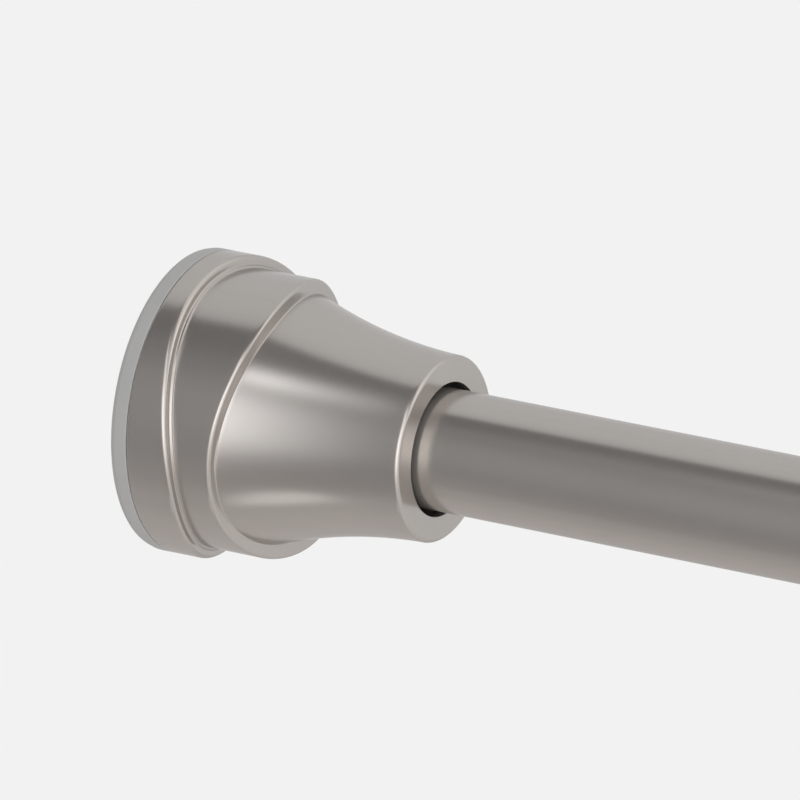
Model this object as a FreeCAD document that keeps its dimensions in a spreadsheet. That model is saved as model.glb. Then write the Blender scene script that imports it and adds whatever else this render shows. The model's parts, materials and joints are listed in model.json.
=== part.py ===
import FreeCAD, Part
import math
import os
import Sketcher
from FreeCAD import Placement, Rotation, Vector

# Extendable shower curtain rod, collapsed. Millimetres.
# The origin is the centre of the left pad's wall face, +X runs along the rod to the right wall, +Z is up.
# Azimuths run round the rod from -Y (0) towards +Z (90).

SIZES = {
    # the rod as a whole
    "collapsed_length": 1067.0,
    "press_travel": 30.0,
    "lock_room": 123.4,
    "inner_show": 70.4,
    # tubes
    "outer_radius": 12.7,
    "outer_wall": 0.8,
    "tube_gap": 0.8,
    "inner_wall": 0.8,
    # fits
    "fit_clearance": 0.05,
    "slide_clearance": 0.08,
    "free_clearance": 0.3,
    # wall pad
    "pad_thickness": 3.8,
    "pad_draft": 0.25,
    "pad_edge": 0.9,
    "pad_eye_radius": 9.0,
    "pad_ring_width": 2.6,
    "pad_ring_pitch": 6.4,
    "pad_ring_depth": 0.6,
    # foot plate
    "plate_thickness": 3.0,
    "socket_depth": 13.0,
    "socket_wall": 2.2,
    "rib_thickness": 1.8,
    "rib_foot": 10.5,
    "rib_rise": 10.0,
    # foot screw and tube plug
    "screw_radius": 1.75,
    "screw_length": 15.0,
    "screw_head_radius": 3.9,
    "screw_head_height": 2.3,
    "plug_length": 16.0,
    # cover
    "cover_length": 56.8,
    "cover_wall": 1.5,
    "band_one_radius": 31.8,
    "band_two_radius": 29.3,
    "step_one": 7.4,
    "step_two": 20.65,
    "wave_one": 2.4,
    "wave_two": 2.5,
    "wave_azimuth": -17.5,
    "round_one": 0.9,
    "round_two": 1.1,
    "ledge_width": 0.75,
    "ledge_height": 1.1,
    "flare_base": 26.35,
    "flare_waist": 19.5,
    "flare_beyond": 2.25,
    "ring_round": 1.1,
    "bore_gap": 1.34,
    # bushes
    "mouth_sleeve": 16.0,
    "mouth_flange": 2.0,
    "mouth_lip": 0.5,
    "tail_length": 11.0,
    "tail_lip": 1.2,
    # lock
    "collet_length": 34.0,
    "collet_standoff": 4.0,
    "collet_lip": 2.62,
    "taper_depth": 3.2,
    "taper_length": 18.0,
    "slit_width": 2.4,
    "slit_length": 24.0,
    "nut_travel": 3.0,
    "nut_nose": 7.0,
    "nut_tail": 12.0,
    "nut_shoulder": 1.0,
    "key_height": 0.9,
    "stud_radius": 3.0,
    "stud_tail": 6.0,
    "collar_radius": 5.5,
    "collar_width": 3.0,
    "washer_radius": 8.0,
    "washer_thickness": 1.0,
    "end_nut_flats": 10.0,
    "end_nut_height": 5.0,
    # pressure unit
    "carrier_inset": 2.0,
    "carrier_length": 30.0,
    "spring_room": 4.0,
    "nose_length": 8.0,
    "pin_radius": 1.5,
    "pin_inset": 18.0,
    "pin_recess": 0.15,
    "spring_length": 75.0,
    "spring_turns": 6.0,
    "wire_depth": 1.8,
    "wire_width": 2.2,
    "seat_length": 12.0,
}

SLITS = 4
PAD_RINGS = 3
RIBS = 6
FULL_TURN = 360
# half width of the slab that cuts a tier, over the tier's radius
SLAB_REACH = 1.5
# points nearer than this count as one
TOUCH = 1e-3

doc = FreeCAD.newDocument("curtain_rod")
sheet = doc.addObject("Spreadsheet::Sheet", "dim")
for row, (alias, number) in enumerate(SIZES.items(), start=1):
    sheet.set("A%d" % row, alias)
    sheet.set("B%d" % row, str(number))
    sheet.setAlias("B%d" % row, alias)
doc.recompute()


class Size:
    """A length that knows its number and the expression over the sheet's cells that gives it."""

    def __init__(self, text, number):
        self.text = text
        self.number = number

    def __add__(self, other):
        return combined(self, "+", other, lambda a, b: a + b)

    def __sub__(self, other):
        return combined(self, "-", other, lambda a, b: a - b)

    def __mul__(self, other):
        return combined(self, "*", other, lambda a, b: a * b)

    def __truediv__(self, other):
        return combined(self, "/", other, lambda a, b: a / b)


def as_size(value):
    return value if isinstance(value, Size) else Size(repr(float(value)), float(value))


def combined(first, sign, second, operation):
    second = as_size(second)
    return Size("(%s %s %s)" % (first.text, sign, second.text), operation(first.number, second.number))


class Sheet:
    """Reads the sheet's cells by alias."""

    def __getattr__(self, alias):
        return Size("dim." + alias, float(sheet.get(alias)))


def opposite(size):
    return as_size(0) - size


dim = Sheet()
ON_AXIS = as_size(0)

# Stations along the rod that several pieces share
floor = dim.pad_thickness + dim.plate_thickness
right_floor = dim.collapsed_length - floor
mouth = right_floor - dim.inner_show
outer_length = mouth - floor
tail = floor + dim.lock_room
inner_length = right_floor - tail
collet_back = tail - dim.tail_lip - dim.press_travel - dim.collet_standoff
collet_front = collet_back - dim.collet_length
collar_start = collet_back + dim.free_clearance + dim.washer_thickness
nut_gap = dim.nut_travel + dim.free_clearance
nut_start = collet_front - dim.nut_tail
end_nut_start = nut_start - dim.free_clearance - dim.end_nut_height
pin_station = tail + dim.pin_inset
stud_end = pin_station + dim.stud_tail
carrier_start = tail + dim.carrier_inset
carrier_shoulder = carrier_start + dim.carrier_length
seat_shoulder = carrier_shoulder + dim.spring_length

# Radii that several pieces share
outer_bore = dim.outer_radius - dim.outer_wall
inner_radius = outer_bore - dim.tube_gap
inner_bore = inner_radius - dim.inner_wall
slider_radius = outer_bore - dim.slide_clearance
collet_mouth = slider_radius - dim.collet_lip
collet_throat = collet_mouth - dim.taper_depth
nut_collar = collet_mouth + dim.nut_shoulder
socket_bore = dim.outer_radius + dim.fit_clearance
cover_mouth = dim.band_one_radius - dim.cover_wall
cover_start = dim.pad_thickness + dim.free_clearance
stud_hole = dim.stud_radius + dim.fit_clearance
pin_hole = dim.pin_radius + dim.fit_clearance
nose_radius = inner_bore - dim.spring_room
coil_inside = nose_radius + dim.free_clearance


def origin_part(body, role):
    return next(part for part in body.Origin.OriginFeatures if part.Role == role)


def new_sketch(body, name, role, offset=None):
    """A sketch on one of the body's own origin planes, moved along its normal by offset."""
    sketch = body.newObject("Sketcher::SketchObject", body.Label + "_" + name)
    sketch.AttachmentSupport = [(origin_part(body, role), "")]
    sketch.MapMode = "FlatFace"
    if offset is not None:
        sketch.setExpression("AttachmentOffset.Base.z", offset.text)
    return sketch


def fix(sketch, kind, places, size):
    """Adds a dimension to the sketch and ties it to the sheet."""
    index = sketch.addConstraint(Sketcher.Constraint(kind, *places, size.number))
    sketch.setExpression("Constraints[%d]" % index, size.text)


def fix_point(sketch, geometry, position, across, up):
    if across is ON_AXIS:
        sketch.addConstraint(Sketcher.Constraint("PointOnObject", geometry, position, -2))
    else:
        fix(sketch, "DistanceX", (-1, 1, geometry, position), across)
    if up is ON_AXIS:
        sketch.addConstraint(Sketcher.Constraint("PointOnObject", geometry, position, -1))
    else:
        fix(sketch, "DistanceY", (-1, 1, geometry, position), up)


def draw_polygon(sketch, corners):
    """A closed outline of straight lines, each corner held by its two distances from the origin."""
    points = [Vector(across.number, up.number, 0) for across, up in corners]
    first = sketch.GeometryCount
    for index, point in enumerate(points):
        sketch.addGeometry(Part.LineSegment(point, points[(index + 1) % len(points)]))
    for index in range(len(points)):
        following = first + (index + 1) % len(points)
        sketch.addConstraint(Sketcher.Constraint("Coincident", first + index, 2, following, 1))
    for index, (across, up) in enumerate(corners):
        fix_point(sketch, first + index, 1, across, up)


def draw_circle(sketch, radius, across=ON_AXIS, up=ON_AXIS):
    centre = Vector(across.number, up.number, 0)
    index = sketch.addGeometry(Part.Circle(centre, Vector(0, 0, 1), radius.number))
    fix(sketch, "Radius", (index,), radius)
    if across is ON_AXIS and up is ON_AXIS:
        sketch.addConstraint(Sketcher.Constraint("Coincident", index, 3, -1, 1))
    else:
        fix_point(sketch, index, 3, across, up)


def turned(name, outline):
    """A body turned about the rod's axis from its half section, given as (station, radius)."""
    body = doc.addObject("PartDesign::Body", name)
    sketch = new_sketch(body, "section", "XZ_Plane")
    draw_polygon(sketch, outline)
    turn = body.newObject("PartDesign::Revolution", name + "_turn")
    turn.Profile = sketch
    turn.ReferenceAxis = (sketch, ["H_Axis"])
    turn.Angle = FULL_TURN
    return body


def tube(name, start, length, radius, bore):
    """A tube drawn as a ring and extruded along the rod."""
    body = doc.addObject("PartDesign::Body", name)
    sketch = new_sketch(body, "ring", "YZ_Plane", start)
    draw_circle(sketch, radius)
    draw_circle(sketch, bore)
    extrusion = body.newObject("PartDesign::Pad", name + "_extrusion")
    extrusion.Profile = sketch
    extrusion.setExpression("Length", length.text)
    return body


def cut_through(body, name, sketch):
    """Cuts the sketch's outline right through the body, both ways from its plane."""
    cut = body.newObject("PartDesign::Pocket", body.Label + "_" + name)
    cut.Profile = sketch
    cut.Type = "ThroughAll"
    cut.Midplane = True
    return cut


def around(body, feature, count):
    """Repeats a feature evenly round the rod's axis."""
    pattern = body.newObject("PartDesign::PolarPattern", feature.Label + "_around")
    pattern.Originals = [feature]
    pattern.Axis = (origin_part(body, "X_Axis"), [""])
    pattern.Angle = FULL_TURN
    pattern.Occurrences = count
    feature.Visibility = False
    body.Tip = pattern
    return pattern


def turn_to_right_wall(piece):
    """Turns a piece of the left end round, to the same place at the right wall."""
    piece.Placement = Placement(Vector(dim.collapsed_length.number, 0, 0), Rotation(Vector(0, 0, 1), 180))
    piece.setExpression("Placement.Base.x", dim.collapsed_length.text)


def wall_pad(name):
    """Rubber disc with moulded grip rings in its wall face and a pocket for the screw's head."""
    rim = dim.band_one_radius
    pocket_radius = dim.screw_head_radius + dim.free_clearance
    pocket_floor = dim.pad_thickness - dim.screw_head_height - dim.free_clearance
    body = turned(name, [
        (ON_AXIS, ON_AXIS),
        (ON_AXIS, rim - dim.pad_draft),
        (dim.pad_edge, rim),
        (dim.pad_thickness, rim),
        (dim.pad_thickness, pocket_radius),
        (pocket_floor, pocket_radius),
        (pocket_floor, ON_AXIS),
    ])
    sketch = new_sketch(body, "grip_rings", "XZ_Plane")
    for ring in range(PAD_RINGS):
        inside = dim.pad_eye_radius + dim.pad_ring_pitch * ring
        outside = inside + dim.pad_ring_width
        draw_polygon(sketch, [
            (ON_AXIS, inside),
            (dim.pad_ring_depth, inside),
            (dim.pad_ring_depth, outside),
            (ON_AXIS, outside),
        ])
    groove = body.newObject("PartDesign::Groove", name + "_grip_grooves")
    groove.Profile = sketch
    groove.ReferenceAxis = (sketch, ["H_Axis"])
    groove.Angle = FULL_TURN
    return body


def foot_plate(name):
    """Moulded disc behind the pad, with a ribbed socket for the tube's end and a hole for the screw."""
    hole = dim.screw_radius + dim.free_clearance
    socket = socket_bore + dim.socket_wall
    rim = cover_mouth - dim.free_clearance
    socket_end = floor + dim.socket_depth
    body = turned(name, [
        (dim.pad_thickness, hole),
        (dim.pad_thickness, rim),
        (floor, rim),
        (floor, socket),
        (socket_end, socket),
        (socket_end, socket_bore),
        (floor, socket_bore),
        (floor, hole),
    ])
    sketch = new_sketch(body, "rib", "XZ_Plane")
    rib_base = floor - dim.free_clearance
    rib_root = socket - dim.free_clearance
    draw_polygon(sketch, [
        (rib_base, rib_root),
        (rib_base, socket + dim.rib_foot),
        (floor, socket + dim.rib_foot),
        (floor + dim.rib_rise, socket),
        (floor + dim.rib_rise, rib_root),
    ])
    rib = body.newObject("PartDesign::Pad", name + "_rib")
    rib.Profile = sketch
    rib.Midplane = True
    rib.setExpression("Length", dim.rib_thickness.text)
    around(body, rib, RIBS)
    return body


def foot_screw(name):
    """Pan-head screw from the pad's pocket through the foot plate into the tube plug."""
    head_start = dim.pad_thickness - dim.screw_head_height
    return turned(name, [
        (head_start, ON_AXIS),
        (head_start, dim.screw_head_radius),
        (dim.pad_thickness, dim.screw_head_radius),
        (dim.pad_thickness, dim.screw_radius),
        (dim.pad_thickness + dim.screw_length, dim.screw_radius),
        (dim.pad_thickness + dim.screw_length, ON_AXIS),
    ])


def tube_plug(name, bore):
    """Moulded plug in a tube's end, with a pilot hole for the screw."""
    pilot = dim.screw_radius + dim.fit_clearance
    return tube(name, floor, dim.plug_length, bore - dim.fit_clearance, pilot)


def saddle_slab(station, depth, rise, radius):
    """A slab whose front follows a saddle: it rises and falls twice round the rod.

    The front lies at station on the axis and departs from it by rise times the cosine of twice the
    azimuth, measured at radius. The slab reaches back from it by depth.
    """
    reach = SLAB_REACH * radius
    slope = 2 * rise / radius ** 2
    first = math.radians(dim.wave_azimuth.number - 45)
    second = math.radians(dim.wave_azimuth.number + 45)

    def corner(along_first, along_second):
        y = -along_first * math.cos(first) - along_second * math.cos(second)
        z = along_first * math.sin(first) + along_second * math.sin(second)
        return Vector(station + slope * along_first * along_second, y, z)

    near = Part.makeLine(corner(-reach, -reach), corner(-reach, reach))
    far = Part.makeLine(corner(reach, -reach), corner(reach, reach))
    return Part.makeRuledSurface(near, far).extrude(Vector(-depth, 0, 0))


def tier(start, station, rise, radius):
    """A cylinder from start to a saddle front."""
    length = station - start + 2 * abs(rise)
    rod = Part.makeCylinder(radius, length, Vector(start, 0, 0), Vector(1, 0, 0))
    return rod.common(saddle_slab(station, 2 * station, rise, radius))


def rounded_tier(start, station, rise, radius, rounding):
    """A tier with its wavy front edge rounded."""
    plain = tier(start, station, rise, radius)
    front = [edge for edge in plain.Edges if edge.BoundBox.XLength > abs(rise)]
    rims = [edge for edge in front if is_on_rim(edge, start, radius)]
    return plain.makeFillet(rounding, rims)


def is_on_rim(edge, start, radius):
    """True for an edge that runs round the tier's front at its full radius."""
    first = edge.valueAt(edge.FirstParameter)
    middle = edge.valueAt((edge.FirstParameter + edge.LastParameter) / 2)
    on_radius = all(abs(math.hypot(point.y, point.z) - radius) < TOUCH for point in (first, middle))
    turns = math.hypot(middle.y - first.y, middle.z - first.z) > TOUCH
    return on_radius and turns and middle.x > start + TOUCH


def cover(name):
    """Stepped and flared shell, one piece: two bands with wavy fronts, a ledge, a flare and a ring face."""
    start = cover_start.number
    end = start + dim.cover_length.number
    wall = dim.cover_wall.number
    band_one = dim.band_one_radius.number
    band_two = dim.band_two_radius.number
    step_one = start + dim.step_one.number
    step_two = start + dim.step_two.number
    bore = (dim.outer_radius + dim.bore_gap).number
    along = Vector(1, 0, 0)
    axis_start = Vector(0, 0, 0)

    first_band = rounded_tier(start, step_one, dim.wave_one.number, band_one, dim.round_one.number)
    second_band = rounded_tier(start, step_two, -dim.wave_two.number, band_two, dim.round_two.number)

    ledge_radius = band_two + dim.ledge_height.number
    ledge_front = step_one + dim.ledge_width.number
    ledge_rise = dim.wave_one.number * (ledge_radius / band_one) ** 2
    ledge = tier(start, ledge_front, ledge_rise, ledge_radius)

    waist = dim.flare_waist.number
    waist_station = end + dim.flare_beyond.number
    flare_reach = waist_station - step_two
    flare_drop = dim.flare_base.number - waist
    arc_radius = (flare_reach ** 2 + flare_drop ** 2) / (2 * flare_drop)

    def flare_radius(station):
        return waist + arc_radius - math.sqrt(arc_radius ** 2 - (waist_station - station) ** 2)

    def flare_point(station, inset=0.0):
        return Vector(station, 0, flare_radius(station) - inset)

    flare_start = step_two - 2 * dim.wave_two.number
    ring_round = dim.ring_round.number
    ring_station = end - ring_round
    ring_top = flare_radius(ring_station)
    diagonal = ring_round * math.sqrt(0.5)
    flare_arc = Part.Arc(
        flare_point(flare_start),
        flare_point((flare_start + ring_station) / 2),
        flare_point(ring_station),
    ).toShape()
    ring_arc = Part.Arc(
        Vector(ring_station, 0, ring_top),
        Vector(ring_station + diagonal, 0, ring_top - ring_round + diagonal),
        Vector(end, 0, ring_top - ring_round),
    ).toShape()
    closing = Part.makePolygon([
        Vector(end, 0, ring_top - ring_round),
        Vector(end, 0, 0),
        Vector(flare_start, 0, 0),
        flare_point(flare_start),
    ])
    section = Part.Face(Part.Wire([flare_arc, ring_arc] + closing.Edges))
    flare = section.revolve(axis_start, along, FULL_TURN)

    shoulder = step_one - dim.wave_one.number - wall
    cavity_turn = step_two - dim.wave_two.number - wall
    cavity_middle = (cavity_turn + end) / 2
    cavity_outline = Part.makePolygon([
        Vector(start, 0, 0),
        Vector(start, 0, band_one - wall),
        Vector(shoulder, 0, band_one - wall),
        Vector(shoulder + wall, 0, band_two - wall),
        Vector(cavity_turn, 0, flare_radius(cavity_turn) - wall),
        flare_point(cavity_middle, wall),
        flare_point(end - wall, wall),
        Vector(end - wall, 0, 0),
        Vector(start, 0, 0),
    ])
    cavity = Part.Face(cavity_outline).revolve(axis_start, along, FULL_TURN)
    bore_cut = Part.makeCylinder(bore, 2 * end, axis_start, along)

    body = first_band.fuse([second_band, ledge, flare]).cut([cavity, bore_cut]).removeSplitter()
    piece = doc.addObject("Part::Feature", name)
    piece.Shape = body.Solids[0] if len(body.Solids) == 1 else body
    return piece


def mouth_bush():
    """Moulded collar in the outer tube's mouth, which guides the inner tube."""
    bore = inner_radius + dim.slide_clearance
    sleeve = outer_bore - dim.fit_clearance
    flange = dim.outer_radius + dim.mouth_lip
    end = mouth + dim.mouth_flange
    return turned("mouth_bush", [
        (mouth - dim.mouth_sleeve, bore),
        (mouth - dim.mouth_sleeve, sleeve),
        (mouth, sleeve),
        (mouth, flange),
        (end - dim.mouth_lip, flange),
        (end, dim.outer_radius),
        (end, bore),
    ])


def tail_bush():
    """Slider over the hidden end of the inner tube, with a lip that covers the tube's edge."""
    return turned("tail_bush", [
        (tail - dim.tail_lip, inner_bore),
        (tail - dim.tail_lip, slider_radius),
        (tail - dim.tail_lip + dim.tail_length, slider_radius),
        (tail - dim.tail_lip + dim.tail_length, inner_radius + dim.fit_clearance),
        (tail, inner_radius + dim.fit_clearance),
        (tail, inner_bore),
    ])


def reducer_sleeve():
    """Sleeve that takes up the inner tube's smaller size in the right foot's socket."""
    bore = inner_radius + dim.fit_clearance
    return tube("reducer_sleeve", floor, dim.socket_depth, dim.outer_radius, bore)


def inner_tube():
    """The thinner tube, with two slots for the drive pin and a cross hole for the seat's rivet."""
    body = tube("inner_tube", tail, inner_length, inner_radius, inner_bore)
    slot_half = dim.pin_radius + dim.fit_clearance * 2
    slot_start = pin_station - slot_half
    slot_end = pin_station + dim.press_travel + slot_half
    slots = new_sketch(body, "slots", "XZ_Plane")
    below = opposite(slot_half)
    draw_polygon(slots, [
        (slot_start, below),
        (slot_end, below),
        (slot_end, slot_half),
        (slot_start, slot_half),
    ])
    cut_through(body, "slot_cut", slots)
    rivet_hole = new_sketch(body, "rivet_hole", "XZ_Plane")
    draw_circle(rivet_hole, pin_hole, seat_shoulder + dim.seat_length / 2, ON_AXIS)
    cut_through(body, "rivet_cut", rivet_hole)
    return body


def expander_collet():
    """Split plug with a taper bore, cut by slits into fingers at its front."""
    body = turned("expander_collet", [
        (collet_front, collet_mouth),
        (collet_front, slider_radius),
        (collet_back, slider_radius),
        (collet_back, stud_hole),
        (collet_front + dim.taper_length, stud_hole),
        (collet_front + dim.taper_length, collet_throat),
    ])
    slit = new_sketch(body, "slit", "YZ_Plane", collet_front)
    half = dim.slit_width / 2
    reach = outer_bore
    draw_polygon(slit, [
        (opposite(half), ON_AXIS),
        (half, ON_AXIS),
        (half, reach),
        (opposite(half), reach),
    ])
    cut = body.newObject("PartDesign::Pocket", "collet_slit")
    cut.Profile = slit
    cut.Reversed = True
    cut.setExpression("Length", dim.slit_length.text)
    around(body, cut, SLITS)
    return body


def taper_nut():
    """Cone on the stud's thread, with keys that ride in the collet's slits so that it can't turn."""
    slope = (collet_mouth - collet_throat) / dim.taper_length
    nose = collet_front + dim.nut_nose
    tip_radius = collet_mouth - slope * (dim.nut_nose + nut_gap)
    shoulder = collet_front - (nut_collar - collet_mouth) / slope - nut_gap
    body = turned("taper_nut", [
        (nut_start, stud_hole),
        (nut_start, nut_collar),
        (shoulder, nut_collar),
        (nose, tip_radius),
        (nose, stud_hole),
    ])
    key = new_sketch(body, "key", "YZ_Plane", nut_start)
    half = dim.slit_width / 2 - dim.free_clearance
    root = dim.stud_radius + dim.key_height
    draw_polygon(key, [
        (opposite(half), root),
        (half, root),
        (half, nut_collar + dim.key_height),
        (opposite(half), nut_collar + dim.key_height),
    ])
    ridge = body.newObject("PartDesign::Pad", "nut_key")
    ridge.Profile = key
    ridge.setExpression("Length", (dim.nut_tail + dim.nut_nose).text)
    around(body, ridge, SLITS)
    return body


def cross_hole(body, station):
    """Drills the drive pin's hole across a body."""
    sketch = new_sketch(body, "cross_hole", "XZ_Plane")
    draw_circle(sketch, pin_hole, station, ON_AXIS)
    cut_through(body, "cross_cut", sketch)


def lock_stud():
    """Threaded rod with a collar that the collet bears on; the fine thread isn't cut."""
    body = turned("lock_stud", [
        (end_nut_start, ON_AXIS),
        (end_nut_start, dim.stud_radius),
        (collar_start, dim.stud_radius),
        (collar_start, dim.collar_radius),
        (collar_start + dim.collar_width, dim.collar_radius),
        (collar_start + dim.collar_width, dim.stud_radius),
        (stud_end, dim.stud_radius),
        (stud_end, ON_AXIS),
    ])
    cross_hole(body, pin_station)
    return body


def thrust_washer():
    start = collet_back + dim.free_clearance / 2
    return tube("thrust_washer", start, dim.washer_thickness, dim.washer_radius, stud_hole)


def end_nut():
    """Hexagon nut at the stud's end, which keeps the taper nut on."""
    body = doc.addObject("PartDesign::Body", "end_nut")
    sketch = new_sketch(body, "hexagon", "YZ_Plane", end_nut_start)
    corner = dim.end_nut_flats / math.sqrt(3)
    half = corner / 2
    flat = dim.end_nut_flats / 2
    draw_polygon(sketch, [
        (corner, ON_AXIS),
        (half, flat),
        (opposite(half), flat),
        (opposite(corner), ON_AXIS),
        (opposite(half), opposite(flat)),
        (half, opposite(flat)),
    ])
    draw_circle(sketch, stud_hole)
    extrusion = body.newObject("PartDesign::Pad", "end_nut_extrusion")
    extrusion.Profile = sketch
    extrusion.setExpression("Length", dim.end_nut_height.text)
    return body


def spring_carrier():
    """Plug that slides in the inner tube's end, holds the stud and centres the spring on its nose."""
    radius = inner_bore - dim.slide_clearance
    body = turned("spring_carrier", [
        (carrier_start, stud_hole),
        (carrier_start, radius),
        (carrier_shoulder, radius),
        (carrier_shoulder, nose_radius),
        (carrier_shoulder + dim.nose_length, nose_radius),
        (carrier_shoulder + dim.nose_length, ON_AXIS),
        (stud_end + dim.fit_clearance, ON_AXIS),
        (stud_end + dim.fit_clearance, stud_hole),
    ])
    cross_hole(body, pin_station)
    return body


def cross_pin(name, station, reach):
    """A plain round pin across the rod."""
    body = doc.addObject("PartDesign::Body", name)
    sketch = new_sketch(body, "round", "XZ_Plane")
    draw_circle(sketch, dim.pin_radius, station, ON_AXIS)
    pin = body.newObject("PartDesign::Pad", name + "_pin")
    pin.Profile = sketch
    pin.Midplane = True
    pin.setExpression("Length", (reach * 2).text)
    return body


def spring_seat():
    """Plug riveted in the inner tube, with a nose that centres the spring's far end."""
    radius = inner_bore - dim.fit_clearance
    body = turned("spring_seat", [
        (seat_shoulder - dim.nose_length, ON_AXIS),
        (seat_shoulder - dim.nose_length, nose_radius),
        (seat_shoulder, nose_radius),
        (seat_shoulder, radius),
        (seat_shoulder + dim.seat_length, radius),
        (seat_shoulder + dim.seat_length, ON_AXIS),
    ])
    cross_hole(body, seat_shoulder + dim.seat_length / 2)
    return body


def pressure_spring():
    """Compression spring of flat wire between the carrier and the seat."""
    body = doc.addObject("PartDesign::Body", "pressure_spring")
    sketch = new_sketch(body, "wire", "XZ_Plane")
    near = carrier_shoulder + dim.fit_clearance
    coil_outside = coil_inside + dim.wire_depth
    draw_polygon(sketch, [
        (near, coil_inside),
        (near + dim.wire_width, coil_inside),
        (near + dim.wire_width, coil_outside),
        (near, coil_outside),
    ])
    coil = body.newObject("PartDesign::AdditiveHelix", "spring_coil")
    coil.Profile = sketch
    coil.ReferenceAxis = (sketch, ["H_Axis"])
    coil.Mode = "height-turns-angle"
    coil.setExpression("Height", (dim.spring_length - dim.wire_width - dim.fit_clearance * 2).text)
    coil.setExpression("Turns", dim.spring_turns.text)
    return body


def left_end():
    wall_pad("wall_pad_left")
    foot_plate("foot_plate_left")
    foot_screw("foot_screw_left")
    tube_plug("tube_plug_left", outer_bore)
    cover("cover_left")


def right_end():
    turn_to_right_wall(wall_pad("wall_pad_right"))
    turn_to_right_wall(foot_plate("foot_plate_right"))
    turn_to_right_wall(foot_screw("foot_screw_right"))
    turn_to_right_wall(tube_plug("tube_plug_right", inner_bore))
    turn_to_right_wall(reducer_sleeve())
    turn_to_right_wall(cover("cover_right"))


def tubes():
    tube("outer_tube", floor, outer_length, dim.outer_radius, outer_bore)
    inner_tube()
    mouth_bush()
    tail_bush()


def twist_lock():
    expander_collet()
    taper_nut()
    lock_stud()
    thrust_washer()
    end_nut()


def pressure_unit():
    spring_carrier()
    cross_pin("drive_pin", pin_station, inner_radius - dim.pin_recess)
    pressure_spring()
    spring_seat()
    cross_pin("seat_rivet", seat_shoulder + dim.seat_length / 2, inner_radius)


left_end()
right_end()
tubes()
twist_lock()
pressure_unit()
doc.recompute()

failed = [item.Label for item in doc.Objects if "Invalid" in item.State or "Error" in item.State]
if failed:
    raise RuntimeError("failed features: " + ", ".join(failed))

pieces = [item for item in doc.Objects if item.TypeId in ("PartDesign::Body", "Part::Feature")]
for piece in pieces:
    shape = piece.Shape
    if shape.isNull() or not shape.isValid() or len(shape.Solids) != 1:
        raise RuntimeError("bad shape: " + piece.Label)

os.makedirs("parts", exist_ok=True)
for piece in pieces:
    piece.Shape.exportStep("parts/" + piece.Label + ".step")
print("pieces:", len(pieces))
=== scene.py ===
import json
import math
from contextlib import contextmanager

import bmesh
import bpy
import numpy as np
from bpy.props import FloatProperty, FloatVectorProperty, IntProperty, PointerProperty
from mathutils import Matrix, Vector


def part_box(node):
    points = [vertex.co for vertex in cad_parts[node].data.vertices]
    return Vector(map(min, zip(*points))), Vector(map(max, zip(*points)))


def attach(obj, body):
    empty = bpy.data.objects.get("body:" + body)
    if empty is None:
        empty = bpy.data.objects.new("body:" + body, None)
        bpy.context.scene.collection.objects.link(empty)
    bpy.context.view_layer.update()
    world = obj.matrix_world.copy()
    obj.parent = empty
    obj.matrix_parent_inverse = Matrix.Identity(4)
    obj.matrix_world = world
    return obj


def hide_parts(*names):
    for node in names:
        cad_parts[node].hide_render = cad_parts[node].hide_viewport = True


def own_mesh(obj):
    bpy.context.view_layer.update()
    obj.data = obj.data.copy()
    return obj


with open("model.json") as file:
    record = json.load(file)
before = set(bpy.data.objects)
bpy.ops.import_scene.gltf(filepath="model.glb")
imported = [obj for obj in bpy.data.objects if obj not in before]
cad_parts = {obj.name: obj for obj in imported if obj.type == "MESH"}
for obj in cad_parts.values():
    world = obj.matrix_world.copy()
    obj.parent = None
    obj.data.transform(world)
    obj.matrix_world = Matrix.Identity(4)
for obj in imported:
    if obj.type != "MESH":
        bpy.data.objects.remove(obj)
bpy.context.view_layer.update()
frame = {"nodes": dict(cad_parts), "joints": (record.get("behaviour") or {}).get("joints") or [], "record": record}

# Extendable shower curtain rod, collapsed. Metres. +X runs along the rod to the right wall, +Z is up.
# The origin is the centre of the left pad's wall face.
# Azimuths run round the rod from -Y (0) towards +Z (a quarter turn).

bl_info = {
    "name": "Shower Curtain Rod",
    "version": (1, 0, 0),
    "blender": (4, 5, 0),
    "location": "View3D > Sidebar > Curtain Rod",
    "description": "Builds an extendable shower curtain rod with flared end covers around its packed frame",
    "category": "Add Mesh",
}

MM = 0.001
TURN = 2 * math.pi
# faces that meet at more than this angle keep a sharp edge
SHARP_ANGLE = math.radians(32)
# how far from a rounded corner a long straight run gets its first extra point
SUPPORT = 0.35 * MM
# edges shorter than this are closed up after a cut
SPECK = 0.0005 * MM
# each end of the rod, and the body that its pad and foot ride on
ENDS = (("left", "outer"), ("right", "inner"))


def length(name, default, description):
    return FloatProperty(name=name, default=default, description=description, unit="LENGTH", precision=5)


def colour(name, default, description):
    return FloatVectorProperty(
        name=name, default=default, description=description, size=3, subtype="COLOR", min=0.0, max=1.0
    )


def strength(name, default, description):
    return FloatProperty(name=name, default=default, description=description, min=0.0)


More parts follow.
